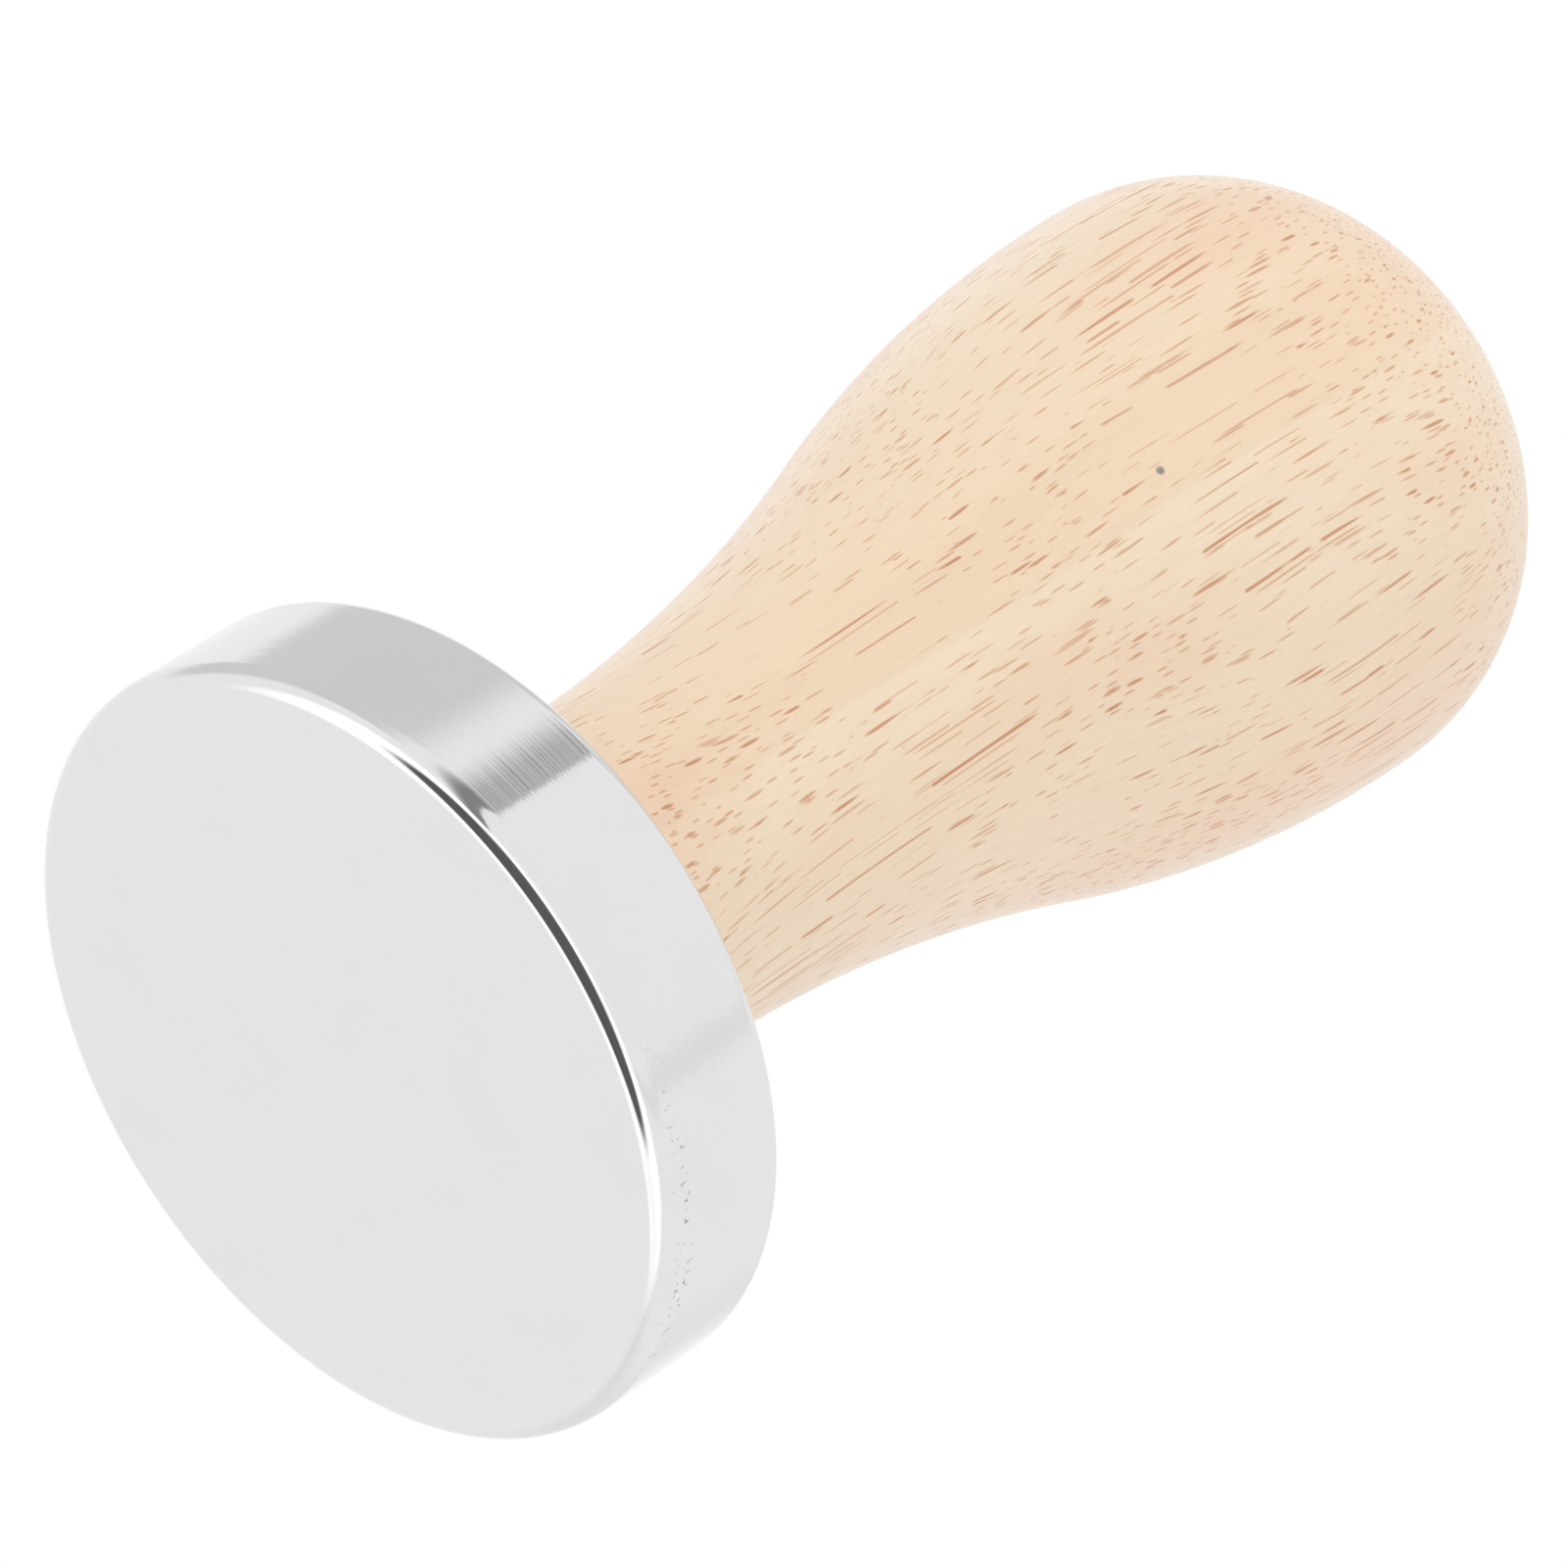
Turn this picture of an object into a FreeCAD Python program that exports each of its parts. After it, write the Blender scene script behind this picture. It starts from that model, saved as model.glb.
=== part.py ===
"""Espresso tamper: a turned wooden handle screwed onto a flat stainless-steel base.

Row frame: millimetres, +Z up along the tamper's axis, origin at the centre of the base's flat
working face, on which the tamper stands.

    tamper_base     steel disc with a blind tapped hole in its upper face
    seat_washer     thin washer between the base and the handle's foot
    handle          turned hardwood: flared foot, narrow neck, egg-shaped bulb
    threaded_insert barbed brass bush, pressed into the bore of the handle's foot
    threaded_stud   set screw with a hexagon socket, locked in the insert and screwed into the base

The stud, the insert and the tapped hole hold real helical threads, all on one helix, so the handle
unscrews by one thread pitch for each turn.
"""

import FreeCAD
import Part
import math
import os

import Sketcher

SIZES = [
    # base
    ("base_diameter", 51.0),
    ("base_height", 10.2),
    ("base_lower_round", 1.3),
    ("base_upper_round", 0.9),
    ("hole_spare", 1.5),
    ("hole_lead_in", 0.8),
    # washer, set in from the foot's edge
    ("washer_inset", 1.8),
    ("washer_thickness", 0.8),
    ("washer_play", 0.6),
    ("washer_edge", 0.15),
    # handle, its heights measured from the foot's lower face and its dome from the bulb's widest ring
    ("handle_length", 87.4),
    ("foot_flare", 1.45),
    ("foot_edge_round", 0.7),
    ("neck_radius", 11.35),
    ("neck_height", 11.0),
    ("neck_sweep", 108.0),
    ("bulb_radius", 20.95),
    ("dome_rise", 16.5),
    ("dome_sweep", 32.7),
    # insert
    ("insert_length", 14.0),
    ("insert_diameter", 12.0),
    ("insert_sink", 0.3),
    ("bore_spare", 0.7),
    ("barb_count", 6),
    ("barb_land", 1.0),
    ("barb_depth", 0.5),
    ("barb_bite", 0.1),
    # thread and stud
    ("thread_diameter", 8.0),
    ("thread_pitch", 1.25),
    ("thread_gap", 0.1),
    ("stud_in_base", 6.5),
    ("stud_in_insert", 12.4),
    ("stud_end_chamfer", 0.8),
    ("socket_across_flats", 4.0),
    ("socket_depth", 4.0),
]

doc = FreeCAD.newDocument("espresso_tamper")
sheet = doc.addObject("Spreadsheet::Sheet", "Sizes")
for row, (alias, value) in enumerate(SIZES, start=1):
    sheet.set(f"A{row}", alias)
    sheet.set(f"B{row}", str(value))
    sheet.setAlias(f"B{row}", alias)
doc.recompute()


def ref(alias):
    """Name of a size inside an expression."""
    return f"Sizes.{alias}"


def value(expression):
    """Value of an expression, for picking edges and for the first position of a sketch's lines."""
    return float(sheet.evalExpression(expression))


def size(alias):
    """Value of one named size."""
    return float(sheet.get(alias))


# --- derived expressions -------------------------------------------------------------------------
# ISO thread of 60 degrees: the space between two ridges of the tapped hole is half a pitch wide at
# the pitch radius, and narrows outwards by twice the tangent of 30 degrees.
PITCH = ref("thread_pitch")
GAP = ref("thread_gap")
MAJOR_RADIUS = f"({ref('thread_diameter')} / 2)"
TRIANGLE = f"({PITCH} * sqrt(3) / 2)"
PITCH_RADIUS = f"({MAJOR_RADIUS} - 3 / 8 * {TRIANGLE})"
HOLE_RADIUS = f"({MAJOR_RADIUS} - 5 / 8 * {TRIANGLE})"
STUD_RADIUS = f"({MAJOR_RADIUS} - {GAP})"
CORE_RADIUS = f"({HOLE_RADIUS} - {GAP})"
OVERCUT = f"({PITCH} * 0.06)"

FOOT_RADIUS = f"({ref('neck_radius')} + {ref('foot_flare')})"
BULB_HEIGHT = f"({ref('handle_length')} - {ref('dome_rise')})"
WASHER_RADIUS = f"({FOOT_RADIUS} - {ref('washer_inset')})"
HANDLE_Z = f"({ref('base_height')} + {ref('washer_thickness')})"
INSERT_Z = f"({HANDLE_Z} + {ref('insert_sink')})"
STUD_Z = f"({ref('base_height')} - {ref('stud_in_base')})"
STUD_BELOW_INSERT = f"({ref('stud_in_base')} + {ref('washer_thickness')} + {ref('insert_sink')})"
STUD_LENGTH = f"({STUD_BELOW_INSERT} + {ref('stud_in_insert')})"


def space_width(radius):
    """Width, along the axis, of the space in an internal thread at a radius."""
    return f"({PITCH} / 2 - 2 * ({radius} - {PITCH_RADIUS}) * tan(30 deg))"


def external_space_width(radius):
    """Width of the space in the stud's thread, whose ridge has a gap on both flanks."""
    return f"({PITCH} - {space_width(radius)} + 2 * {GAP})"


# --- building blocks -----------------------------------------------------------------------------
def origin_feature(body, role):
    """Origin plane or axis of a body, such as XY_Plane or Z_Axis."""
    return next(item for item in body.Origin.OriginFeatures if item.Role == role)


def new_body(label):
    """Empty body whose label is its node name."""
    body = doc.addObject("PartDesign::Body", label)
    body.Label = label
    return body


def new_sketch(body, name, plane, offset=None):
    """Sketch on one of the body's origin planes; offset maps an attachment axis to an expression."""
    sketch = body.newObject("Sketcher::SketchObject", name)
    sketch.AttachmentSupport = (origin_feature(body, plane), [""])
    sketch.MapMode = "FlatFace"
    for axis, expression in (offset or {}).items():
        sketch.setExpression(f"AttachmentOffset.Base.{axis}", expression)
    return sketch


def bind(sketch, kind, expression, *where):
    """Dimension of a sketch driven by an expression; where lists geometry and point indices."""
    index = sketch.addConstraint(Sketcher.Constraint(kind, *where, value(expression)))
    sketch.setExpression(f"Constraints[{index}]", expression)
    return index


def tie(sketch, kind, *where):
    """Geometric constraint of a sketch."""
    sketch.addConstraint(Sketcher.Constraint(kind, *where))


def circle_sketch(body, name, radius, offset=None):
    """Circle about the body's axis, in its XY plane."""
    sketch = new_sketch(body, name, "XY_Plane", offset)
    circle = Part.Circle(FreeCAD.Vector(0, 0, 0), FreeCAD.Vector(0, 0, 1), 5.0)
    edge = sketch.addGeometry(circle, False)
    tie(sketch, "Coincident", edge, 3, -1, 1)
    bind(sketch, "Radius", radius, edge)
    return sketch


def pad(body, name, sketch, length):
    """Pad of a sketch along +Z."""
    feature = body.newObject("PartDesign::Pad", name)
    feature.Profile = sketch
    feature.setExpression("Length", length)
    doc.recompute()
    return feature


def pocket(body, name, sketch, length, upwards):
    """Pocket of a sketch, cutting towards +Z when upwards is true and else towards -Z."""
    feature = body.newObject("PartDesign::Pocket", name)
    feature.Profile = sketch
    feature.setExpression("Length", length)
    feature.Reversed = upwards
    doc.recompute()
    return feature


def rings_at(feature, height):
    """Edge names and radii of a feature's circular edges about its axis at a height."""
    rings = []
    for index, edge in enumerate(feature.Shape.Edges, start=1):
        if edge.Degenerated or not isinstance(edge.Curve, Part.Circle):
            continue
        if abs(edge.Curve.Center.z - height) < 1e-4:
            rings.append((f"Edge{index}", edge.Curve.Radius))
    return rings


def ring_edges(feature, height, radius):
    """Names of the circular edges of a feature at a height and a radius."""
    names = [name for name, found in rings_at(feature, height) if abs(found - radius) < 1e-4]
    assert names, f"no ring at z {height} and radius {radius} on {feature.Name}"
    return names


def bore_radius_at(feature, height):
    """Radius of the smallest circular edge at a height: a bore's mouth."""
    return min(radius for _, radius in rings_at(feature, height))


def fillet(body, name, base, height, radius, expression):
    """Rounding of one ring edge."""
    feature = body.newObject("PartDesign::Fillet", name)
    feature.Base = (base, ring_edges(base, height, radius))
    feature.setExpression("Radius", expression)
    doc.recompute()
    return feature


def chamfer(body, name, base, rings, expression):
    """Chamfer of ring edges given as (height, radius) pairs."""
    feature = body.newObject("PartDesign::Chamfer", name)
    edges = [edge for height, radius in rings for edge in ring_edges(base, height, radius)]
    feature.Base = (base, edges)
    feature.setExpression("Size", expression)
    doc.recompute()
    return feature


def thread_groove(body, name, start, height, radii, widths):
    """Helical groove of trapezoid section: start is the height of its centre, on the +X side."""
    sketch = new_sketch(body, name + "_section", "XZ_Plane", {"y": start})
    corners = [(3.0, -0.3), (4.0, -0.1), (4.0, 0.1), (3.0, 0.3)]
    points = [FreeCAD.Vector(x, y, 0) for x, y in corners]
    lines = [Part.LineSegment(points[i], points[(i + 1) % 4]) for i in range(4)]
    first = sketch.addGeometry(lines, False)[0]
    for i in range(4):
        tie(sketch, "Coincident", first + i, 2, first + (i + 1) % 4, 1)
    tie(sketch, "Symmetric", first + 1, 1, first + 1, 2, -1)
    tie(sketch, "Symmetric", first + 3, 1, first + 3, 2, -1)
    bind(sketch, "DistanceX", radii[0], -1, 1, first, 1)
    bind(sketch, "DistanceX", radii[1], -1, 1, first, 2)
    bind(sketch, "DistanceY", widths[0], first, 1, first + 3, 1)
    bind(sketch, "DistanceY", widths[1], first + 1, 1, first + 1, 2)
    doc.recompute()
    groove = body.newObject("PartDesign::SubtractiveHelix", name)
    groove.Profile = sketch
    groove.ReferenceAxis = (sketch, ["V_Axis"])
    groove.Mode = "pitch-height-angle"
    groove.setExpression("Pitch", PITCH)
    groove.setExpression("Height", height)
    groove.Angle = 0.0
    before = groove.BaseFeature.Shape.Volume
    doc.recompute()
    assert groove.Shape.Volume < before, f"{name} cuts nothing"
    return groove


def internal_groove(body, name, start, height):
    """Helical groove of a tapped hole, from just inside the hole's wall to the major radius."""
    inner = f"({HOLE_RADIUS} - {OVERCUT})"
    radii = (inner, MAJOR_RADIUS)
    widths = (space_width(inner), space_width(MAJOR_RADIUS))
    return thread_groove(body, name, start, height, radii, widths)


# --- pieces --------------------------------------------------------------------------------------
def make_base():
    """Steel disc: rounded lower and upper edge, blind tapped hole in the upper face."""
    body = new_body("tamper_base")
    outline = circle_sketch(body, "base_outline", f"{ref('base_diameter')} / 2")
    disc = pad(body, "base_disc", outline, ref("base_height"))
    radius = size("base_diameter") / 2
    lower = fillet(body, "base_lower_edge", disc, 0.0, radius, ref("base_lower_round"))
    top = size("base_height")
    upper = fillet(body, "base_upper_edge", lower, top, radius, ref("base_upper_round"))
    mouth = circle_sketch(body, "hole_outline", HOLE_RADIUS, {"z": ref("base_height")})
    depth = f"{ref('stud_in_base')} + {ref('hole_spare')}"
    drilled = pocket(body, "drilled_hole", mouth, depth, upwards=False)
    assert drilled.Shape.Volume < upper.Shape.Volume, "the hole cuts nothing"
    mouth_ring = (top, bore_radius_at(drilled, top))
    chamfer(body, "hole_mouth", drilled, [mouth_ring], ref("hole_lead_in"))
    start = f"{STUD_Z} - {PITCH} / 2"
    height = f"{ref('stud_in_base')} + 2 * {PITCH}"
    internal_groove(body, "base_thread", start, height)
    return body


def make_washer():
    """Flat washer with lightly broken edges, resting on the base."""
    body = new_body("seat_washer")
    outline = circle_sketch(body, "washer_outline", WASHER_RADIUS)
    blank = pad(body, "washer_blank", outline, ref("washer_thickness"))
    bore_radius = f"({ref('thread_diameter')} + {ref('washer_play')}) / 2"
    bore = circle_sketch(body, "washer_bore_outline", bore_radius)
    bored = pocket(body, "washer_bored", bore, ref("washer_thickness"), upwards=True)
    assert bored.Shape.Volume < blank.Shape.Volume, "the washer's bore cuts nothing"
    radius = value(WASHER_RADIUS)
    rings = [(0.0, radius), (size("washer_thickness"), radius)]
    chamfer(body, "washer_edges", bored, rings, ref("washer_edge"))
    body.setExpression("Placement.Base.z", ref("base_height"))
    return body


def handle_profile_points():
    """Points and centres of the handle's outline that satisfy its tangencies.

    The concave neck sweep runs straight into the convex flank sweep, so the sum of their radii
    follows from how far the bulb stands out from the neck and above it. The shoulder arc runs from
    the bulb's widest ring into a flatter dome whose centre is on the axis.
    """
    neck_r = size("neck_radius")
    neck_z = size("neck_height")
    bulb_r = size("bulb_radius")
    bulb_z = value(BULB_HEIGHT)
    foot_r = value(FOOT_RADIUS)
    top = size("handle_length")
    rise = size("dome_rise")
    dome = size("dome_sweep")
    neck_sweep = size("neck_sweep")

    flare = foot_r - neck_r
    foot_sweep = (flare**2 + neck_z**2) / (2 * flare)
    swell = bulb_r - neck_r
    climb = bulb_z - neck_z
    both_sweeps = (swell**2 + climb**2) / (2 * swell)
    flank_sweep = both_sweeps - neck_sweep
    turn = math.asin(climb / both_sweeps)

    shoulder_sweep = (dome**2 - bulb_r**2 - (rise - dome) ** 2) / (2 * (dome - bulb_r))
    shoulder_r = bulb_r - shoulder_sweep
    dome_z = top - dome
    tilt = math.atan2(bulb_z - dome_z, shoulder_r)
    return {
        "foot": (foot_r, 0.0),
        "foot_centre": (neck_r + foot_sweep, neck_z),
        "neck": (neck_r, neck_z),
        "neck_centre": (neck_r + neck_sweep, neck_z),
        "turning": (
            neck_r + neck_sweep * (1 - math.cos(turn)),
            neck_z + neck_sweep * math.sin(turn),
        ),
        "flank_centre": (bulb_r - flank_sweep, bulb_z),
        "bulb": (bulb_r, bulb_z),
        "shoulder_centre": (shoulder_r, bulb_z),
        "dome_start": (dome * math.cos(tilt), dome_z + dome * math.sin(tilt)),
        "dome_centre": (0.0, dome_z),
        "top": (0.0, top),
    }


def arc(centre, start, end):
    """Arc about a centre, counter-clockwise from start to end."""
    radius = math.hypot(start[0] - centre[0], start[1] - centre[1])
    circle = Part.Circle(FreeCAD.Vector(*centre, 0), FreeCAD.Vector(0, 0, 1), radius)
    angles = [math.atan2(point[1] - centre[1], point[0] - centre[0]) for point in (start, end)]
    if angles[1] < angles[0]:
        angles[1] += 2 * math.pi
    return Part.ArcOfCircle(circle, *angles)


def handle_outline(body):
    """Half outline of the handle: foot flare, neck, flank, bulb, shoulder and dome."""
    spot = handle_profile_points()
    sketch = new_sketch(body, "handle_outline", "XZ_Plane")
    vector = {name: FreeCAD.Vector(*point, 0) for name, point in spot.items()}
    zero = FreeCAD.Vector(0, 0, 0)
    # concave arcs run from their upper end to their lower end, convex arcs upwards
    foot_face = sketch.addGeometry(Part.LineSegment(zero, vector["foot"]), False)
    foot = sketch.addGeometry(arc(spot["foot_centre"], spot["neck"], spot["foot"]), False)
    neck = sketch.addGeometry(arc(spot["neck_centre"], spot["turning"], spot["neck"]), False)
    flank = sketch.addGeometry(arc(spot["flank_centre"], spot["turning"], spot["bulb"]), False)
    shoulder = sketch.addGeometry(
        arc(spot["shoulder_centre"], spot["bulb"], spot["dome_start"]), False
    )
    dome = sketch.addGeometry(arc(spot["dome_centre"], spot["dome_start"], spot["top"]), False)
    axis = sketch.addGeometry(Part.LineSegment(vector["top"], zero), False)

    tie(sketch, "Coincident", foot_face, 1, -1, 1)
    tie(sketch, "Horizontal", foot_face)
    tie(sketch, "Coincident", foot_face, 2, foot, 2)
    tie(sketch, "Tangent", foot, 1, neck, 2)
    tie(sketch, "Tangent", neck, 1, flank, 1)
    tie(sketch, "Tangent", flank, 2, shoulder, 1)
    tie(sketch, "Tangent", shoulder, 2, dome, 1)
    tie(sketch, "Coincident", dome, 2, axis, 1)
    tie(sketch, "Coincident", axis, 2, -1, 1)
    tie(sketch, "Vertical", axis)
    tie(sketch, "PointOnObject", dome, 3, -2)
    bind(sketch, "DistanceX", FOOT_RADIUS, -1, 1, foot_face, 2)
    bind(sketch, "DistanceX", ref("neck_radius"), -1, 1, foot, 1)
    bind(sketch, "DistanceY", ref("neck_height"), -1, 1, foot, 1)
    bind(sketch, "DistanceY", ref("neck_height"), -1, 1, foot, 3)
    bind(sketch, "Radius", ref("neck_sweep"), neck)
    bind(sketch, "DistanceX", ref("bulb_radius"), -1, 1, flank, 2)
    bind(sketch, "DistanceY", BULB_HEIGHT, -1, 1, flank, 2)
    bind(sketch, "DistanceY", BULB_HEIGHT, -1, 1, flank, 3)
    bind(sketch, "Radius", ref("dome_sweep"), dome)
    bind(sketch, "DistanceY", ref("handle_length"), -1, 1, dome, 2)
    doc.recompute()
    return sketch


def make_handle():
    """Turned wooden handle with a blind drilled bore for the insert in its foot."""
    body = new_body("handle")
    outline = handle_outline(body)
    turned = body.newObject("PartDesign::Revolution", "handle_turned")
    turned.Profile = outline
    turned.ReferenceAxis = (outline, ["V_Axis"])
    turned.Angle = 360.0
    doc.recompute()
    foot_radius = value(FOOT_RADIUS)
    rounded = fillet(body, "foot_edge", turned, 0.0, foot_radius, ref("foot_edge_round"))
    mouth = circle_sketch(body, "bore_outline", f"{ref('insert_diameter')} / 2")
    filled = f"max({ref('insert_length')}; {ref('stud_in_insert')})"
    depth = f"{ref('insert_sink')} + {filled} + {ref('bore_spare')}"
    bored = pocket(body, "insert_bore", mouth, depth, upwards=True)
    assert bored.Shape.Volume < rounded.Shape.Volume, "the handle's bore cuts nothing"
    body.setExpression("Placement.Base.z", HANDLE_Z)
    return body


def make_insert():
    """Brass bush: barbs that bite into the bore's wall, and a thread right through."""
    body = new_body("threaded_insert")
    crest = f"({ref('insert_diameter')} / 2 + {ref('barb_bite')})"
    outline = circle_sketch(body, "insert_outline", crest)
    blank = pad(body, "insert_blank", outline, ref("insert_length"))

    sketch = new_sketch(body, "barb_section", "XZ_Plane")
    corners = [(5.5, 1.0), (7.0, 1.0), (7.0, 2.0)]
    points = [FreeCAD.Vector(x, y, 0) for x, y in corners]
    lines = [Part.LineSegment(points[i], points[(i + 1) % 3]) for i in range(3)]
    first = sketch.addGeometry(lines, False)[0]
    for i in range(3):
        tie(sketch, "Coincident", first + i, 2, first + (i + 1) % 3, 1)
    tie(sketch, "Horizontal", first)
    tie(sketch, "Vertical", first + 1)
    root = f"{ref('insert_diameter')} / 2 - {ref('barb_depth')}"
    spacing = f"(({ref('insert_length')} - 2 * {ref('barb_land')}) / {ref('barb_count')})"
    bind(sketch, "DistanceX", root, -1, 1, first, 1)
    bind(sketch, "DistanceX", crest + " + 0.2", -1, 1, first, 2)
    bind(sketch, "DistanceY", ref("barb_land"), -1, 1, first, 1)
    bind(sketch, "DistanceY", spacing, first + 1, 1, first + 1, 2)
    doc.recompute()
    notch = body.newObject("PartDesign::Groove", "barb_notch")
    notch.Profile = sketch
    notch.ReferenceAxis = (sketch, ["V_Axis"])
    notch.Angle = 360.0
    doc.recompute()
    assert notch.Shape.Volume < blank.Shape.Volume, "the barbs cut nothing"
    barbs = body.newObject("PartDesign::LinearPattern", "barbs")
    barbs.Originals = [notch]
    barbs.Direction = (origin_feature(body, "Z_Axis"), [""])
    barbs.setExpression("Occurrences", ref("barb_count"))
    barbs.setExpression("Length", f"({ref('barb_count')} - 1) * {spacing}")
    body.Tip = barbs
    doc.recompute()

    bore = circle_sketch(body, "insert_bore_outline", HOLE_RADIUS)
    bored = pocket(body, "insert_bored", bore, ref("insert_length"), upwards=True)
    bore_radius = bore_radius_at(bored, 0.0)
    rings = [(0.0, bore_radius), (size("insert_length"), bore_radius)]
    chamfer(body, "insert_mouths", bored, rings, ref("hole_lead_in"))
    turns_below = f"floor({STUD_BELOW_INSERT} / {PITCH})"
    start = f"({turns_below} - 0.5) * {PITCH} - {STUD_BELOW_INSERT}"
    internal_groove(body, "insert_thread", start, f"{ref('insert_length')} + 3 * {PITCH}")
    body.setExpression("Placement.Base.z", INSERT_Z)
    return body


def make_stud():
    """Set screw: chamfered ends, thread over its whole length, hexagon socket in its lower end."""
    body = new_body("threaded_stud")
    outline = circle_sketch(body, "stud_outline", STUD_RADIUS)
    blank = pad(body, "stud_blank", outline, STUD_LENGTH)
    radius = value(STUD_RADIUS)
    rings = [(0.0, radius), (value(STUD_LENGTH), radius)]
    chamfer(body, "stud_ends", blank, rings, ref("stud_end_chamfer"))

    sketch = new_sketch(body, "socket_outline", "XY_Plane")
    corner = size("socket_across_flats") / math.sqrt(3)
    turns = [math.radians(60 * i + 30) for i in range(6)]
    points = [FreeCAD.Vector(corner * math.cos(t), corner * math.sin(t), 0) for t in turns]
    sides = [Part.LineSegment(points[i], points[(i + 1) % 6]) for i in range(6)]
    first = sketch.addGeometry(sides, False)[0]
    circle = Part.Circle(FreeCAD.Vector(0, 0, 0), FreeCAD.Vector(0, 0, 1), corner)
    ring = sketch.addGeometry(circle, True)
    tie(sketch, "Coincident", ring, 3, -1, 1)
    for i in range(6):
        tie(sketch, "Coincident", first + i, 2, first + (i + 1) % 6, 1)
        tie(sketch, "PointOnObject", first + i, 1, ring)
    for i in range(1, 6):
        tie(sketch, "Equal", first, first + i)
    tie(sketch, "Vertical", first + 5)
    bind(sketch, "Radius", f"{ref('socket_across_flats')} / sqrt(3)", ring)
    socket = pocket(body, "hex_socket", sketch, ref("socket_depth"), upwards=True)
    assert socket.Shape.isValid(), "the socket is not valid"

    outer = f"({STUD_RADIUS} + {GAP} / 3)"
    radii = (CORE_RADIUS, outer)
    widths = (external_space_width(CORE_RADIUS), external_space_width(outer))
    height = f"{STUD_LENGTH} + 2 * {PITCH}"
    thread_groove(body, "stud_thread", f"0 - {PITCH}", height, radii, widths)
    body.setExpression("Placement.Base.z", STUD_Z)
    return body


PIECES = [make_base(), make_washer(), make_handle(), make_insert(), make_stud()]
doc.recompute()

for item in doc.Objects:
    faults = {"Invalid", "Error"} & set(item.State)
    assert not faults, f"{item.Name} is {faults}"

os.makedirs("parts", exist_ok=True)
for piece in PIECES:
    shape = piece.Shape
    assert not shape.isNull(), f"{piece.Label} is empty"
    assert shape.isValid(), f"{piece.Label} is not valid"
    assert len(shape.Solids) == 1, f"{piece.Label} is {len(shape.Solids)} solids"
    shape.exportStep(f"parts/{piece.Label}.step")
    box = shape.BoundBox
    print(f"{piece.Label}: {shape.Volume:.1f} mm3, z {box.ZMin:.2f} to {box.ZMax:.2f}")
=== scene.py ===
"""The looks of an espresso tamper: a polished steel base under a turned rubberwood knob.

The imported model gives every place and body. The base, the knob and the washer are
turned again here as finer surfaces of revolution, and every piece gets its finish.
"""

import math

import bpy
import numpy as np
from mathutils import Matrix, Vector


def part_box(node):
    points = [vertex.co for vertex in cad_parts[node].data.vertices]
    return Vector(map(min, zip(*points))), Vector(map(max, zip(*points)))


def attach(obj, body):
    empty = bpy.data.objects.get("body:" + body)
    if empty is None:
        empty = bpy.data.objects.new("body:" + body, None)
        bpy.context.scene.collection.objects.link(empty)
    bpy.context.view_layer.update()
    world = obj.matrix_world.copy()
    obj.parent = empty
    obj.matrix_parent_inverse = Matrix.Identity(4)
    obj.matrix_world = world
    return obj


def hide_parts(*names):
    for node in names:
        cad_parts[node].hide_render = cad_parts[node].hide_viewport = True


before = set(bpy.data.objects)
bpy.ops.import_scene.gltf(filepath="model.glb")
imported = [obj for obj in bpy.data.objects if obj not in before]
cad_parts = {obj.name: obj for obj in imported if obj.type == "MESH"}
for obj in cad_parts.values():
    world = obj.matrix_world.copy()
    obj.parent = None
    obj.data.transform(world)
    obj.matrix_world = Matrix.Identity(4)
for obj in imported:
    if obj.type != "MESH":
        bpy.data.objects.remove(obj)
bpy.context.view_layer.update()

MM = 0.001

# ---------------------------------------------------------------- the camera
# A long lens below and in front of the tamper, rolled so that it seems to lie on its side.
LENS_MM = 200.1
SENSOR_MM = 36.0
CAMERA_AZIMUTH = 43.467
CAMERA_ELEVATION = -38.06
CAMERA_ROLL = 56.96
CAMERA_DISTANCE = 512.07 * MM
CAMERA_AIM = np.array((13.298, -13.499, 24.197)) * MM


def place_camera():
    """Stands the camera off from its aim, and turns it by its roll.

    Back is (sin a cos e, -cos a cos e, sin e) for azimuth a and elevation e. Level right
    is (cos a, sin a, 0), level up is back x right, and the roll turns both about back.
    """
    azimuth, elevation, roll = map(
        math.radians, (CAMERA_AZIMUTH, CAMERA_ELEVATION, CAMERA_ROLL))
    back = np.array((math.sin(azimuth) * math.cos(elevation),
                     -math.cos(azimuth) * math.cos(elevation),
                     math.sin(elevation)))
    level_right = np.array((math.cos(azimuth), math.sin(azimuth), 0.0))
    level_up = np.cross(back, level_right)
    right = level_right * math.cos(roll) + level_up * math.sin(roll)
    up = np.cross(back, right)

    data = bpy.data.cameras.new("studio_camera")
    data.lens = LENS_MM
    data.sensor_width = SENSOR_MM
    data.clip_start = 0.01
    camera = bpy.data.objects.new("studio_camera", data)
    bpy.context.scene.collection.objects.link(camera)
    turn = np.eye(4)
    turn[:3, 0], turn[:3, 1], turn[:3, 2] = right, up, back
    turn[:3, 3] = CAMERA_AIM + back * CAMERA_DISTANCE
    camera.matrix_world = Matrix(turn.tolist())
    bpy.context.scene.camera = camera


place_camera()
bpy.context.scene.view_settings.view_transform = "Standard"


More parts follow.
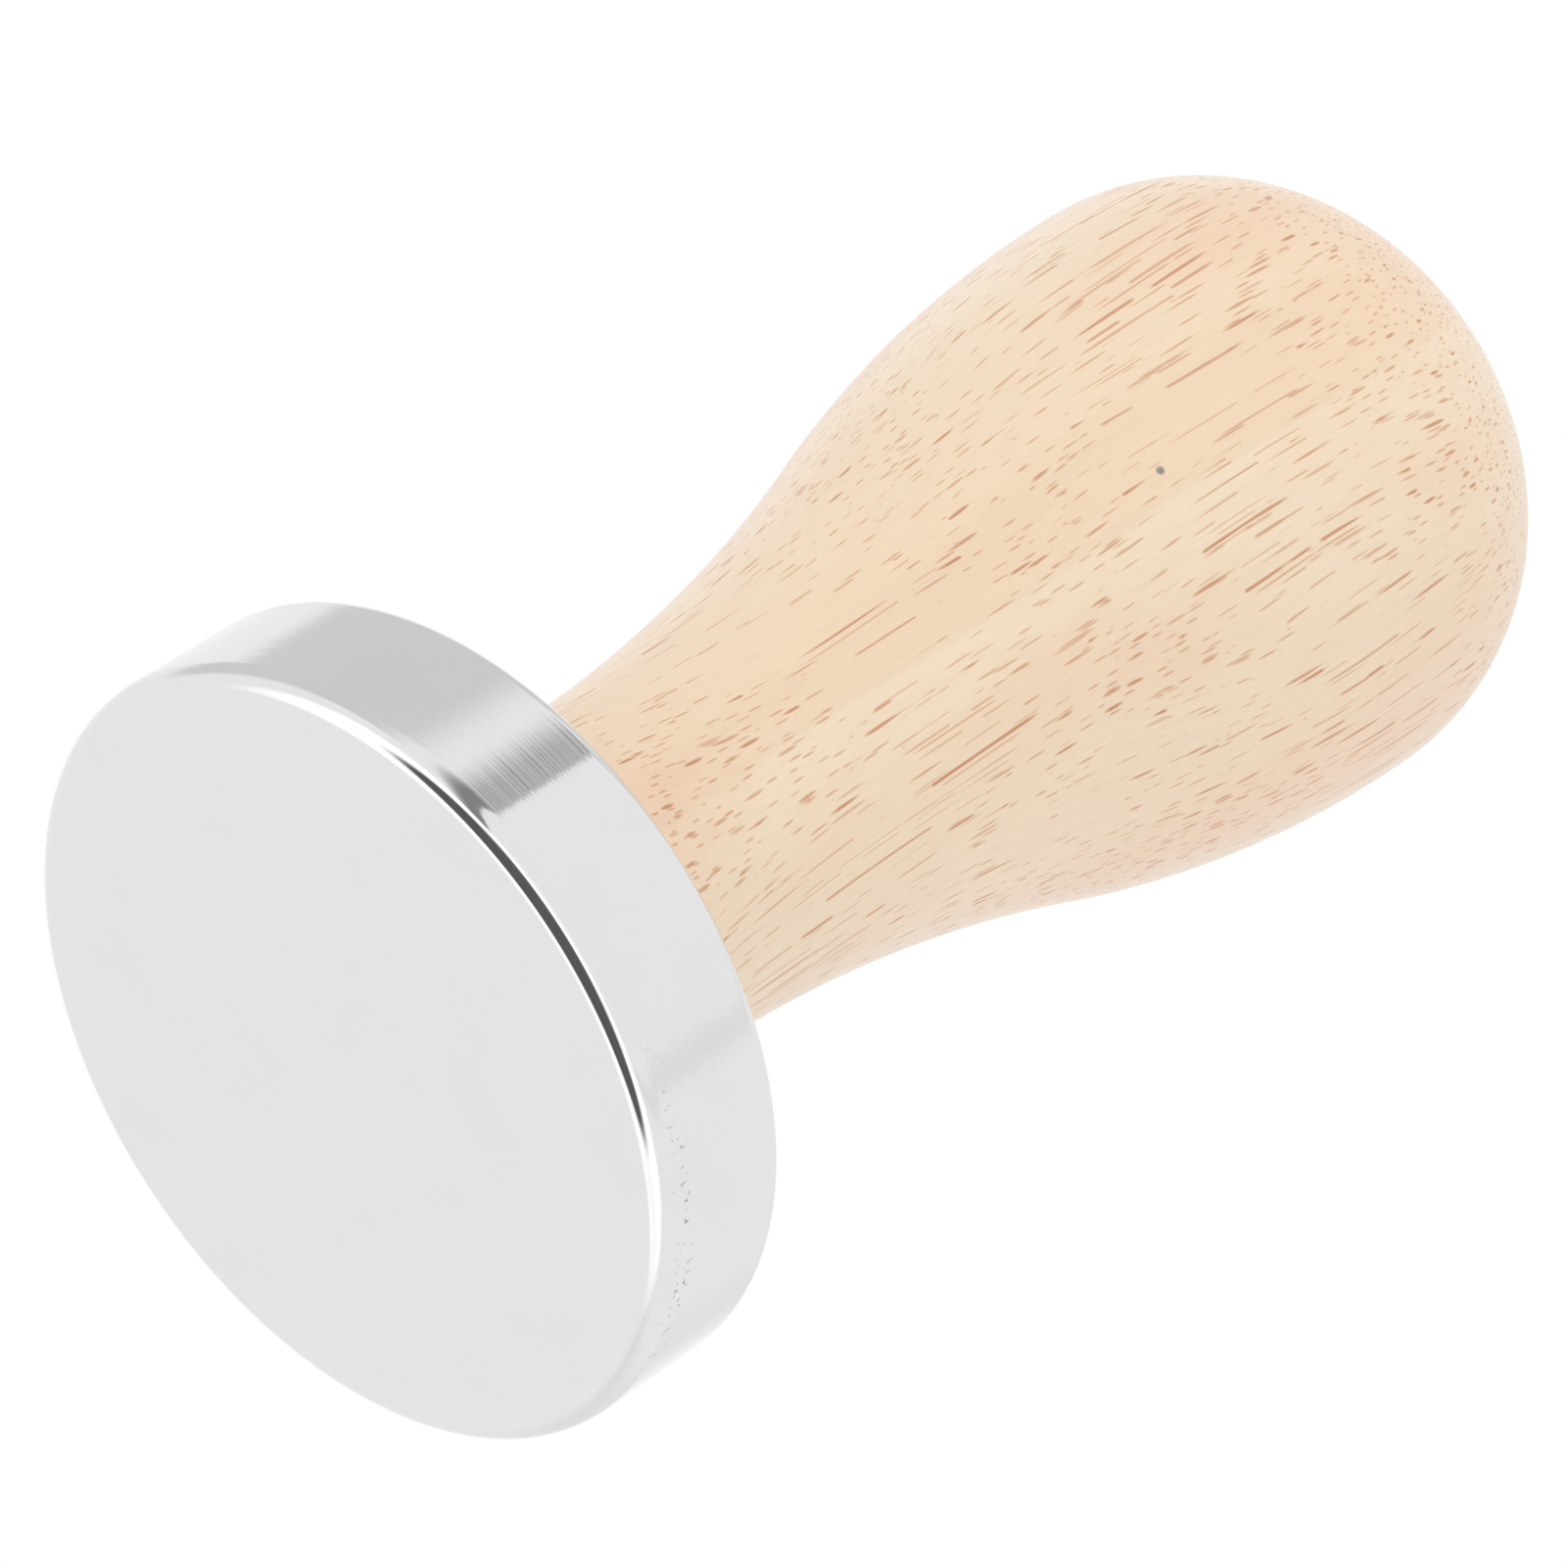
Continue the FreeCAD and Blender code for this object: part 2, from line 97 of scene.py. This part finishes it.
# ---------------------------------------------------------------- shader arithmetic
class Wire:
    """An output of a shader node. Arithmetic on wires adds Math nodes to their tree."""

    def __init__(self, bench, socket):
        self.bench = bench
        self.socket = socket

    def __add__(self, other):
        return self.bench.maths("ADD", self, other)

    __radd__ = __add__

    def __sub__(self, other):
        return self.bench.maths("SUBTRACT", self, other)

    def __rsub__(self, other):
        return self.bench.maths("SUBTRACT", other, self)

    def __mul__(self, other):
        return self.bench.maths("MULTIPLY", self, other)

    __rmul__ = __mul__

    def __truediv__(self, other):
        return self.bench.maths("DIVIDE", self, other)

    def __pow__(self, other):
        return self.bench.maths("POWER", self, other)


class Bench:
    """One node tree, and the few ways in which nodes are put into it."""

    def __init__(self, tree):
        self.tree = tree
        tree.nodes.clear()

    def node(self, kind, settings=None, sockets=None, outlet=None):
        """Adds a node: its settings first, then the values or links of its sockets."""
        made = self.tree.nodes.new(kind)
        for name, value in (settings or {}).items():
            setattr(made, name, value)
        for name, value in (sockets or {}).items():
            socket = self.find(made.inputs, name)
            if isinstance(value, Wire):
                self.tree.links.new(value.socket, socket)
            else:
                socket.default_value = value
        chosen = self.find(made.outputs, outlet) if outlet else None
        if chosen is None and len(made.outputs):
            chosen = made.outputs[0]
        return Wire(self, chosen)

    @staticmethod
    def find(sockets, name):
        """The socket with that identifier, or else with that number or name."""
        for socket in sockets:
            if socket.identifier == name:
                return socket
        return sockets[name]

    def maths(self, operation, first, second=0.0):
        return self.node("ShaderNodeMath", {"operation": operation}, {0: first, 1: second})

    def rise(self, value, low, high, bottom=0.0, top=1.0):
        """A smooth step of value, from bottom at low to top at high."""
        return self.node(
            "ShaderNodeMapRange", {"interpolation_type": "SMOOTHSTEP"},
            {"Value": value, "From Min": low, "From Max": high,
             "To Min": bottom, "To Max": top})

    def hill(self, value, middle, spread):
        """A smooth hill of value: 1 at the middle, 0 a spread away to either side."""
        return self.rise(self.maths("ABSOLUTE", value - middle), 0.0, spread, 1.0, 0.0)

    def blend(self, share, first, second):
        """First colour to second colour as share goes from 0 to 1."""
        return self.node(
            "ShaderNodeMix", {"data_type": "RGBA"},
            {"Factor_Float": share, "A_Color": first, "B_Color": second}, "Result_Color")

    def noise(self, where, scale, detail=2.0, roughness=0.5, outlet="Fac"):
        return self.node(
            "ShaderNodeTexNoise", {}, {"Vector": where, "Scale": scale,
                                       "Detail": detail, "Roughness": roughness}, outlet)

    def relief(self, height, distance, strength=1.0):
        """A bump: height 1 stands the distance proud of height 0."""
        return self.node("ShaderNodeBump", {}, {
            "Strength": strength, "Distance": distance, "Height": height})

    def stretched(self, where, along):
        """The same place with its height scaled, so that a pattern runs up the piece."""
        return self.node("ShaderNodeMapping", {}, {"Vector": where, "Scale": (1, 1, along)})

    def vectors(self, operation, first, second, outlet=None):
        return self.node("ShaderNodeVectorMath", {"operation": operation},
                         {0: first, 1: second}, outlet)

    def split(self, where):
        made = self.node("ShaderNodeSeparateXYZ", {}, {0: where})
        return [Wire(self, out) for out in made.socket.node.outputs]

    def join(self, x, y, z):
        return self.node("ShaderNodeCombineXYZ", {}, {0: x, 1: y, 2: z})


def finish(name):
    """A new material with an empty bench."""
    material = bpy.data.materials.new(name)
    material.use_nodes = True
    return material, Bench(material.node_tree)


def close(bench, shader):
    bench.node("ShaderNodeOutputMaterial", {}, {"Surface": shader})


def object_place(bench):
    return bench.node("ShaderNodeTexCoord", {}, {}, "Object")


# ---------------------------------------------------------------- turned shapes
def turned(name, profile, around, closed_loop=False):
    """A surface of revolution, made on a grid of angle and profile step.

    Profile point (r, z) goes to (r cos t, r sin t, z) for equal steps of the angle t. The
    profile runs from the axis below, outwards, up and back to the axis above, so faces
    point outwards. A point on the axis is one pole vertex; a closed loop has no poles.
    """
    profile = np.asarray(profile)
    on_axis = profile[:, 0] < 1e-9
    rings = profile[~on_axis]
    angle = np.linspace(0.0, 2.0 * np.pi, around, endpoint=False)
    grid = np.stack((rings[:, :1] * np.cos(angle), rings[:, :1] * np.sin(angle),
                     np.repeat(rings[:, 1:], around, axis=1)), axis=-1)
    points = grid.reshape(-1, 3)

    number = np.arange(len(points)).reshape(len(rings), around)
    if closed_loop:
        number = np.vstack((number, number[:1]))
    near, far = number[:-1], number[1:]
    quads = np.stack((near, np.roll(near, -1, 1), np.roll(far, -1, 1), far), axis=-1)
    faces = quads.reshape(-1, 4).tolist()
    if not closed_loop:
        poles = np.zeros((2, 3))
        poles[:, 2] = profile[on_axis][:, 1]
        below, above = len(points), len(points) + 1
        points = np.vstack((points, poles))
        first, last = number[0], number[-1]
        fan = np.full(around, below)
        faces += np.stack((np.roll(first, -1), first, fan), axis=-1).tolist()
        fan = np.full(around, above)
        faces += np.stack((last, np.roll(last, -1), fan), axis=-1).tolist()

    mesh = bpy.data.meshes.new(name)
    mesh.from_pydata(points.tolist(), [], faces)
    mesh.shade_smooth()
    mesh.update()
    piece = bpy.data.objects.new(name, mesh)
    bpy.context.scene.collection.objects.link(piece)
    return piece


def arc(centre, radius, start, end, steps):
    """Points on a circle about centre, from angle start to angle end, in radians."""
    angle = np.linspace(start, end, steps)
    return np.stack((centre[0] + radius * np.cos(angle),
                     centre[1] + radius * np.sin(angle)), axis=-1)


def eased(corners, guard=0.03 * MM, steps=14):
    """A profile whose corners are rounded: each corner is (r, z, rounding).

    A rounding of radius q cuts its two straight runs q / tan(half angle) from the corner
    and joins them by an arc. A guard point lies on each run just outside the arc, so
    the flat beside it stays flat in its shading.
    """
    spots = np.array([corner[:2] for corner in corners])
    rows = [spots[:1]]
    for before, here, after, corner in zip(spots[:-2], spots[1:-1], spots[2:], corners[1:-1]):
        inward = (before - here) / np.linalg.norm(before - here)
        onward = (after - here) / np.linalg.norm(after - here)
        half = 0.5 * math.acos(float(np.clip(inward @ onward, -1, 1)))
        radius = corner[2]
        cut = radius / math.tan(half)
        middle = (inward + onward) / np.linalg.norm(inward + onward)
        centre = here + middle * radius / math.sin(half)
        start = here + inward * cut - centre
        end = here + onward * cut - centre
        first = math.atan2(start[1], start[0])
        sweep = math.atan2(end[1], end[0]) - first
        sweep = (sweep + math.pi) % (2.0 * math.pi) - math.pi
        rows.append((here + inward * (cut + guard))[None])
        rows.append(arc(centre, radius, first, first + sweep, steps))
        rows.append((here + onward * (cut + guard))[None])
    rows.append(spots[-1:])
    return np.vstack(rows)


def wears(piece, node, body, material):
    """The piece stands for a CAD node, rides on its body and takes its slot's finish."""
    piece.data.materials.append(material)
    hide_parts(node)
    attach(piece, body)


# ---------------------------------------------------------------- sizes of the pieces
base_low, base_high = (np.array(corner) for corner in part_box("tamper_base"))
washer_low, washer_high = (np.array(corner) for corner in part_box("seat_washer"))
knob_low, knob_high = (np.array(corner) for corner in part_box("handle"))

BASE_RADIUS = base_high[0]
BASE_TOP = base_high[2]
BASE_LOWER_ROUND = 1.3 * MM
BASE_UPPER_ROUND = 0.9 * MM
TAPPED_RADIUS = 3.32 * MM
TAPPED_DEPTH = 8.0 * MM
MOUTH_CHAMFER = 0.8 * MM

WASHER_HOLE = 4.3 * MM
WASHER_EDGE = 0.2 * MM

FOOT_Z = knob_low[2]
KNOB_TOP = knob_high[2]
FOOT_RADIUS = 12.8 * MM
FOOT_ROUND = 0.7 * MM
NECK_RADIUS = 11.35 * MM
NECK_Z = FOOT_Z + 11.0 * MM
NECK_SWEEP = 108.0 * MM
BULB_RADIUS = knob_high[0]
BULB_Z = FOOT_Z + 70.9 * MM
DOME_SWEEP = 32.7 * MM
BORE_RADIUS = 6.0 * MM
BORE_DEPTH = 15.0 * MM

# The knob's figure: the heart of the tree beside the block, the growth line that shows,
# the width of a year's growth, and two marks in the wood.
HEART = (46.0 * MM, 38.6 * MM)
LINE_RADIUS = 61.3 * MM
YEAR_WIDTH = 27.0 * MM
CLUSTER_PLACE = (16.8 * MM, -12.1 * MM, 75.6 * MM)
PIN_KNOT_PLACE = (10.4 * MM, -15.6 * MM, 62.6 * MM)


def base_profile():
    """The base's outline: flat face, round, side, small round, top, and the tapped hole."""
    mouth = TAPPED_RADIUS + MOUTH_CHAMFER
    floor = BASE_TOP - TAPPED_DEPTH
    return eased([
        (0.0, base_low[2], 0.0),
        (BASE_RADIUS, base_low[2], BASE_LOWER_ROUND),
        (BASE_RADIUS, BASE_TOP, BASE_UPPER_ROUND),
        (mouth, BASE_TOP, 0.08 * MM),
        (TAPPED_RADIUS, BASE_TOP - MOUTH_CHAMFER, 0.08 * MM),
        (TAPPED_RADIUS, floor, 0.3 * MM),
        (0.0, floor, 0.0)])


def washer_profile():
    """The washer's section as a closed loop with all four edges eased."""
    low, high, outside = washer_low[2], washer_high[2], washer_high[0]
    middle = 0.5 * (WASHER_HOLE + outside)
    loop = eased([
        (middle, low, 0.0), (outside, low, WASHER_EDGE), (outside, high, WASHER_EDGE),
        (WASHER_HOLE, high, WASHER_EDGE), (WASHER_HOLE, low, WASHER_EDGE),
        (middle, low, 0.0)], steps=8)
    return loop[:-1]


def knob_profile():
    """The knob's outline from its bore, over the foot and the neck, to the dome.

    The foot arc and the neck arc share the narrowest point. The flank arc meets the neck
    arc where their centres are in line, and reaches the bulb level. The shoulder arc
    leaves the bulb level and meets the dome arc, which is centred on the axis.
    """
    flare = FOOT_RADIUS - NECK_RADIUS
    foot_height = NECK_Z - FOOT_Z
    foot_sweep = (flare ** 2 + foot_height ** 2) / (2 * flare)
    foot_centre = (NECK_RADIUS + foot_sweep, NECK_Z)

    swell, climb = BULB_RADIUS - NECK_RADIUS, BULB_Z - NECK_Z
    flank_sweep = (swell ** 2 + climb ** 2) / (2 * swell) - NECK_SWEEP
    neck_centre = (NECK_RADIUS + NECK_SWEEP, NECK_Z)
    flank_centre = (BULB_RADIUS - flank_sweep, BULB_Z)
    turn = math.atan2(climb, neck_centre[0] - flank_centre[0])

    dome_z = KNOB_TOP - DOME_SWEEP
    drop = BULB_Z - dome_z
    shoulder = (DOME_SWEEP ** 2 - BULB_RADIUS ** 2 - drop ** 2) / (
        2 * (DOME_SWEEP - BULB_RADIUS))
    shoulder_centre = (BULB_RADIUS - shoulder, BULB_Z)
    lean = math.atan2(BULB_Z - dome_z, shoulder_centre[0])

    # The foot's small round touches the foot plane and the foot arc.
    round_z = FOOT_Z + FOOT_ROUND
    reach = foot_sweep + FOOT_ROUND
    round_r = foot_centre[0] - math.sqrt(reach ** 2 - (NECK_Z - round_z) ** 2)
    tilt = math.atan2(NECK_Z - round_z, foot_centre[0] - round_r)

    bore_top = FOOT_Z + BORE_DEPTH
    bore = eased([(0.0, bore_top, 0.0), (BORE_RADIUS, bore_top, 0.3 * MM),
                  (BORE_RADIUS, FOOT_Z, 0.25 * MM), (round_r - 0.05 * MM, FOOT_Z, 0.0)])
    outside = np.vstack((
        arc((round_r, round_z), FOOT_ROUND, -math.pi / 2, tilt, 14),
        arc(foot_centre, foot_sweep, math.pi + tilt, math.pi, 22)[1:],
        arc(neck_centre, NECK_SWEEP, math.pi, math.pi - turn, 48)[1:],
        arc(flank_centre, flank_sweep, -turn, 0.0, 40)[1:],
        arc(shoulder_centre, shoulder, 0.0, lean, 32)[1:],
        arc((0.0, dome_z), DOME_SWEEP, lean, math.pi / 2, 24)[1:-1],
        [(0.0, KNOB_TOP)]))
    return np.vstack((bore, outside))


# ---------------------------------------------------------------- finishes
def polished_steel():
    """Turned, then polished: near-mirror, with faint lathe lines, haze and small scuffs."""
    material, bench = finish("polished_steel")
    place = object_place(bench)
    x, y, z = bench.split(place)
    radius = (x * x + y * y) ** 0.5
    around = bench.maths("ARCTAN2", y, x)
    section = bench.join(radius, z, 0.0)

    fine_lines = bench.noise(section, 5200.0, 1.0)
    broad_lines = bench.noise(section, 1400.0, 2.0)
    side = bench.rise(radius, BASE_RADIUS - 0.9 * MM, BASE_RADIUS - 0.2 * MM)
    lines = (2.6 * fine_lines + 2.0 * broad_lines) * (0.03 + side)

    # Faint haze from handling, and short rubs that run round the base.
    haze = bench.rise(bench.noise(place, 130.0, 4.0, 0.6), 0.45, 0.75)
    ring_place = bench.join(around * 8.0, radius * 900.0, z * 900.0)
    rub = bench.rise(bench.noise(ring_place, 3.0, 3.0), 0.62, 0.75)
    edge = bench.hill(z, 1.7 * MM, 1.1 * MM) * side
    worn = bench.hill(around, 0.12, 0.75)
    nick = bench.rise(bench.noise(place, 2600.0), 0.62, 0.68) * worn * edge

    roughness = 0.035 + 0.03 * side + 0.035 * haze + 0.05 * rub * side
    tone = bench.blend(haze * 0.5, (0.80, 0.80, 0.80, 1), (0.765, 0.765, 0.77, 1))
    tone = bench.blend(nick * 0.8, tone, (0.12, 0.11, 0.10, 1))
    waviness = bench.noise(place, 60.0, 2.0)
    relief = bench.relief(lines + 6.0 * waviness - 3.0 * nick, 0.0035 * MM)
    close(bench, bench.node("ShaderNodeBsdfPrincipled", {}, {
        "Base Color": tone, "Metallic": 1.0, "Roughness": roughness, "Normal": relief}))
    return material


def rubberwood():
    """Pale rubberwood under satin lacquer: growth bands, fibres and long open pores.

    The grain runs up the knob, leaning a little, so a pore is a long dash on the neck,
    a short one on the bulb's slopes, and a dot on the dome, as in a turned block.
    """
    material, bench = finish("rubberwood")
    place = object_place(bench)
    x, y, z = bench.split(place)
    lean = bench.join(x - 0.12 * z, y + 0.12 * z, z)
    drift = bench.noise(bench.stretched(lean, 0.3), 60.0, outlet="Color")
    centred = bench.vectors("SUBTRACT", drift, (0.5, 0.5, 0.5))
    shift = bench.vectors("MULTIPLY", centred, (5.5 * MM,) * 3)
    grain = bench.vectors("ADD", lean, shift)
    gx, gy, gz = bench.split(grain)

    # Growth bands: shells about a heart outside the block, each ending at a sharp line.
    from_heart_x, from_heart_y = gx - HEART[0], gy - HEART[1]
    shell = (from_heart_x * from_heart_x + from_heart_y * from_heart_y) ** 0.5
    growth = bench.maths("FRACT", (shell - LINE_RADIUS) / YEAR_WIDTH + 20.0)
    band = bench.rise(growth, 0.0, 0.85, 1.0, 0.0) * bench.rise(growth, 0.0, 0.08)
    line = bench.hill(growth, 0.03, 0.03)
    patch = bench.noise(bench.stretched(grain, 0.3), 75.0, 3.0, 0.55)
    fibre = bench.noise(bench.stretched(grain, 0.035), 2600.0, 3.0, 0.6)

    # A cluster of strong pores near the widest part.
    cluster_off = bench.vectors("DISTANCE", place, CLUSTER_PLACE, "Value")
    cluster = bench.rise(cluster_off, 1.0 * MM, 4.5 * MM, 1.0, 0.0)

    def pores(spacing, radius, run, share):
        """Tubes up the grain, broken along their length.

        Cells are spacing apart across the grain; each is dark within radius of its
        centre, where a noise along it, of length run, is above the share left clear.
        """
        cells = bench.node(
            "ShaderNodeTexVoronoi", {"feature": "F1", "voronoi_dimensions": "2D"},
            {"Vector": grain, "Scale": 1.0 / (spacing * MM)}, "Distance")
        tint = Wire(bench, cells.socket.node.outputs["Color"])
        first, second, depth = bench.split(tint)
        along = bench.noise(
            bench.join(first * 40.0, second * 40.0, gz / (run * MM)), 1.0, 1.0)
        share_of_cell = radius / spacing
        inside = bench.rise(cells, 0.55 * share_of_cell, 1.2 * share_of_cell, 1.0, 0.0)
        return inside * bench.rise(along - share, -0.02, 0.03) * (0.45 + 0.55 * depth)

    sparse = 0.10 * bench.rise(patch, 0.35, 0.65, 1.0, 0.0)
    coarse = pores(0.74, 0.125, 4.2, 0.44 + sparse - 0.30 * cluster)
    fine = pores(0.44, 0.080, 2.8, 0.40 + sparse)

    colour = bench.blend(band * 0.75, (0.90, 0.74, 0.545, 1), (0.885, 0.665, 0.47, 1))
    colour = bench.blend(bench.rise(patch, 0.42, 0.72) * 0.7, colour, (0.88, 0.61, 0.43, 1))
    colour = bench.blend(line * 0.14, colour, (0.74, 0.45, 0.27, 1))
    colour = bench.blend((fibre - 0.42) * 0.55, colour, (0.74, 0.51, 0.33, 1))
    colour = bench.blend(fine * 0.75, colour, (0.62, 0.27, 0.125, 1))
    colour = bench.blend(coarse * 0.9, colour, (0.58, 0.24, 0.10, 1))
    colour = bench.blend(cluster * coarse * 0.6, colour, (0.50, 0.20, 0.06, 1))
    knot_off = bench.vectors("DISTANCE", place, PIN_KNOT_PLACE, "Value")
    pin_knot = bench.rise(knot_off, 0.15 * MM, 0.4 * MM, 1.0, 0.0)
    colour = bench.blend(pin_knot * 0.75, colour, (0.11, 0.09, 0.085, 1))

    relief = bench.relief(0.5 * fibre - 1.0 * coarse - 0.6 * fine, 0.02 * MM, 0.5)
    roughness = 0.42 + 0.12 * (fibre - 0.5) + 0.10 * coarse
    close(bench, bench.node("ShaderNodeBsdfPrincipled", {}, {
        "Base Color": colour, "Roughness": roughness, "Normal": relief,
        "Coat Weight": 0.6, "Coat Roughness": 0.2, "Coat IOR": 1.5}))
    return material


def washer_rubber():
    """Black rubber with a matt moulded skin and a trace of dust."""
    material, bench = finish("washer_rubber")
    place = object_place(bench)
    skin = bench.noise(place, 2400.0, 3.0)
    dust = bench.rise(bench.noise(place, 420.0, 4.0), 0.5, 0.8)
    tone = bench.blend(dust * 0.5, (0.018, 0.018, 0.019, 1), (0.075, 0.072, 0.068, 1))
    relief = bench.relief(skin, 0.02 * MM, 0.6)
    close(bench, bench.node("ShaderNodeBsdfPrincipled", {}, {
        "Base Color": tone, "Roughness": 0.55 + 0.25 * skin, "Normal": relief}))
    return material


def screw_metal(name, bright, dull, roughness):
    """Cut metal: turning marks round the axis, darker where oil and dirt stay."""
    material, bench = finish(name)
    place = object_place(bench)
    x, y, z = bench.split(place)
    radius = (x * x + y * y) ** 0.5
    marks = bench.noise(bench.join(radius, z, 0.0), 6500.0, 2.0)
    stain = bench.rise(bench.noise(place, 480.0, 4.0, 0.6), 0.42, 0.75)
    tone = bench.blend(stain * 0.6 + (marks - 0.5) * 0.25, bright, dull)
    relief = bench.relief(marks, 0.004 * MM, 0.6)
    close(bench, bench.node("ShaderNodeBsdfPrincipled", {}, {
        "Base Color": tone, "Metallic": 1.0,
        "Roughness": roughness + 0.18 * stain, "Normal": relief}))
    return material


# ---------------------------------------------------------------- the pieces
turned_base = turned("turned_base", base_profile(), 360)
wears(turned_base, "tamper_base", "base", polished_steel())

pressed_washer = turned("pressed_washer", washer_profile(), 192, closed_loop=True)
wears(pressed_washer, "seat_washer", "washer", washer_rubber())

turned_knob = turned("turned_knob", knob_profile(), 320)
wears(turned_knob, "handle", "grip", rubberwood())

for node_name, coat in (
        ("threaded_insert", screw_metal(
            "insert_brass", (0.80, 0.58, 0.26, 1), (0.48, 0.30, 0.12, 1), 0.22)),
        ("threaded_stud", screw_metal(
            "stud_steel", (0.62, 0.62, 0.63, 1), (0.34, 0.33, 0.32, 1), 0.24))):
    for material_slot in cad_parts[node_name].material_slots:
        material_slot.material = coat


# ---------------------------------------------------------------- floor and studio
def studio_floor():
    """A pale floor under the base, seen and shaded from above only.

    From below it isn't there, so the flat face shows, and it lets light and reflections
    through, because the studio lights the tamper as if it lay on its side.
    """
    material, bench = finish("pale_floor")
    rays = bench.node("ShaderNodeLightPath", {}, {}, "Is Camera Ray")
    behind = bench.node("ShaderNodeNewGeometry", {}, {}, "Backfacing")
    pale = bench.node("ShaderNodeBsdfDiffuse", {}, {"Color": (0.86, 0.86, 0.855, 1)})
    clear = bench.node("ShaderNodeBsdfTransparent", {}, {"Color": (1, 1, 1, 1)})
    close(bench, bench.node("ShaderNodeMixShader", {}, {
        0: rays * (1.0 - behind), 1: clear, 2: pale}))

    half = 2.5
    mesh = bpy.data.meshes.new("studio_floor")
    mesh.from_pydata([(-half, -half, 0), (half, -half, 0), (half, half, 0),
                      (-half, half, 0)], [], [(0, 1, 2, 3)])
    mesh.materials.append(material)
    floor = bpy.data.objects.new("studio_floor", mesh)
    floor.location.z = base_low[2] - 0.05 * MM
    bpy.context.scene.collection.objects.link(floor)


def studio_world():
    """White to the camera; to polished metal, a white tent with a few grey cards in it.

    Directions are azimuth and elevation in degrees, seen from the tamper.
    """
    world = bpy.data.worlds.new("studio_world")
    world.use_nodes = True
    bpy.context.scene.world = world
    bench = Bench(world.node_tree)
    x, y, z = bench.split(bench.node("ShaderNodeTexCoord", {}, {}, "Generated"))
    azimuth = bench.maths("ARCTAN2", y, x) * (180.0 / math.pi)
    elevation = bench.maths("ARCSINE", z) * (180.0 / math.pi)

    grey_wall = bench.rise(azimuth, -116.0, -100.0, 1.0, 0.0) * bench.rise(
        azimuth, -180.0, -168.0) * bench.rise(elevation, -22.0, -10.0)
    strip = bench.rise(azimuth, -98.0, -86.0) * bench.rise(
        azimuth, -80.0, -79.0, 1.0, 0.0) * bench.rise(elevation, -52.0, -44.0)
    dip_right = bench.hill(azimuth, 3.0, 9.0)
    dip_back = bench.hill(azimuth, 98.0, 26.0)
    down = bench.rise(elevation, -66.0, -60.0, 1.0, 0.0)
    tent = (1.0 - 0.25 * grey_wall) * (
        1.0 - 0.58 * strip * bench.rise(elevation, 26.0, 46.0, 1.25, 0.45)) * (
        1.0 - 0.10 * dip_right) * (1.0 - 0.10 * dip_back) * (1.0 - 0.88 * down)
    bright = bench.rise(elevation, -48.0, -40.0, 0.32, 0.0)
    tent = (tent + bright * (1.0 - down) * (1.0 - strip)) * 0.97

    rays = bench.node("ShaderNodeLightPath").socket.node.outputs
    seen = Wire(bench, rays["Is Camera Ray"])
    mirrored = bench.maths("MAXIMUM", Wire(bench, rays["Is Glossy Ray"]),
                           Wire(bench, rays["Is Transmission Ray"]))
    level = seen + (1.0 - seen) * (mirrored * tent + (1.0 - mirrored) * 0.93)
    glow = bench.node("ShaderNodeBackground", {}, {
        "Color": (1, 1, 1, 1), "Strength": level})
    bench.node("ShaderNodeOutputWorld", {}, {"Surface": glow})


def soft_lamp(name, azimuth, elevation, distance, width, power):
    """A square area lamp, turned to the middle of the tamper."""
    data = bpy.data.lights.new(name, "AREA")
    data.shape = "SQUARE"
    data.size = width
    data.energy = power
    lamp = bpy.data.objects.new(name, data)
    lift, swing = math.radians(elevation), math.radians(azimuth)
    away = np.array((math.cos(lift) * math.cos(swing),
                     math.cos(lift) * math.sin(swing), math.sin(lift)))
    middle = np.array((0.0, 0.0, 0.5 * KNOB_TOP))
    side = np.cross((0.0, 0.0, 1.0), away)
    side /= np.linalg.norm(side)
    turn = np.eye(4)
    turn[:3, 0], turn[:3, 1], turn[:3, 2] = side, np.cross(away, side), away
    turn[:3, 3] = middle + away * distance
    lamp.matrix_world = Matrix(turn.tolist())
    lamp.visible_glossy = False
    bpy.context.scene.collection.objects.link(lamp)


studio_floor()
studio_world()
soft_lamp("key_lamp", -95.0, 14.0, 0.9, 0.45, 1.0)
